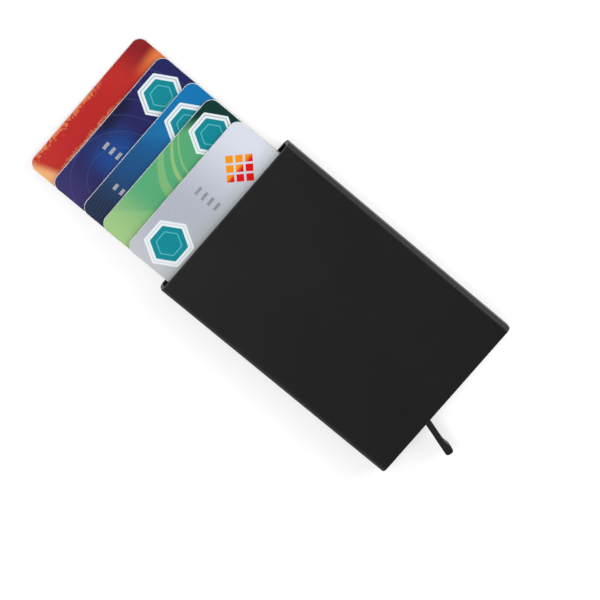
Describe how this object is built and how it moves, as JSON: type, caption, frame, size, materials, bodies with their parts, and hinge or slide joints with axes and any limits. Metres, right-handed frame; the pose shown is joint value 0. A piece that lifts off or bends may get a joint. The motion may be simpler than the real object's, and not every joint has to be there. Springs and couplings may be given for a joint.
{
  "type": "aluminium card holder",
  "caption": "Flat aluminium tube that holds stacked cards, with a push lever at its bottom end that fans the cards out of the mouth in steps.",
  "frame": {"origin": "middle of the back face of the case, which it rests on", "axes": "+X to the right of the case seen from the front, +Y out of the mouth, +Z out of the front face"},
  "size_m": [0.0624, 0.166, 0.008],
  "materials": {
    "anodised_black": "fine matte black anodising on an extrusion",
    "moulded_black": "fine moulded grain, black",
    "steel": "plain bright steel",
    "felt": "short black felt",
    "card_red": "satin laminated print, red to orange",
    "card_navy": "satin laminated print, navy",
    "card_blue": "satin laminated print, blue to slate",
    "card_green": "satin laminated print, green",
    "card_silver": "pearly laminated print, silver"
  },
  "bodies": {
    "case": {"case_tube": "anodised_black", "end_frame": "moulded_black", "frame_cover": "moulded_black", "cover_screw_outer": "steel", "cover_screw_inner": "steel", "lever_pin": "steel", "lever_washer_back": "steel", "lever_washer_front": "steel", "detent_spring": "steel", "side_rail_left": "moulded_black", "side_rail_right": "moulded_black", "felt_lower_left": "felt", "felt_upper_left": "felt", "felt_lower_right": "felt", "felt_upper_right": "felt"},
    "lever": {"lever": "moulded_black"},
    "red_card": {"card_red": "card_red"},
    "navy_card": {"card_navy": "card_navy"},
    "blue_card": {"card_blue": "card_blue"},
    "green_card": {"card_green": "card_green"},
    "silver_card": {"card_silver": "card_silver"}
  },
  "joints": [
    {"name": "lever_swing", "type": "hinge", "parent": "case", "child": "lever", "pos_m": [-0.01231, -0.04285, 0.0038], "axis": [0, 0, 1], "range_deg": [-74, 0]},
    {"name": "red_card_slide", "type": "slide", "parent": "case", "child": "red_card", "axis": [0, 1, 0], "range_m": [-0.05869, 0]},
    {"name": "navy_card_slide", "type": "slide", "parent": "case", "child": "navy_card", "axis": [0, 1, 0], "range_m": [-0.04934, 0]},
    {"name": "blue_card_slide", "type": "slide", "parent": "case", "child": "blue_card", "axis": [0, 1, 0], "range_m": [-0.03722, 0]},
    {"name": "green_card_slide", "type": "slide", "parent": "case", "child": "green_card", "axis": [0, 1, 0], "range_m": [-0.02933, 0]},
    {"name": "silver_card_slide", "type": "slide", "parent": "case", "child": "silver_card", "axis": [0, 1, 0], "range_m": [-0.0186, 0]}
  ],
  "couplings": [
    {"joint": "red_card_slide", "follows": "lever_swing", "m_per_rad": 0.045445},
    {"joint": "navy_card_slide", "follows": "lever_swing", "m_per_rad": 0.038201},
    {"joint": "blue_card_slide", "follows": "lever_swing", "m_per_rad": 0.028816},
    {"joint": "green_card_slide", "follows": "lever_swing", "m_per_rad": 0.022712},
    {"joint": "silver_card_slide", "follows": "lever_swing", "m_per_rad": 0.014401}
  ]
}
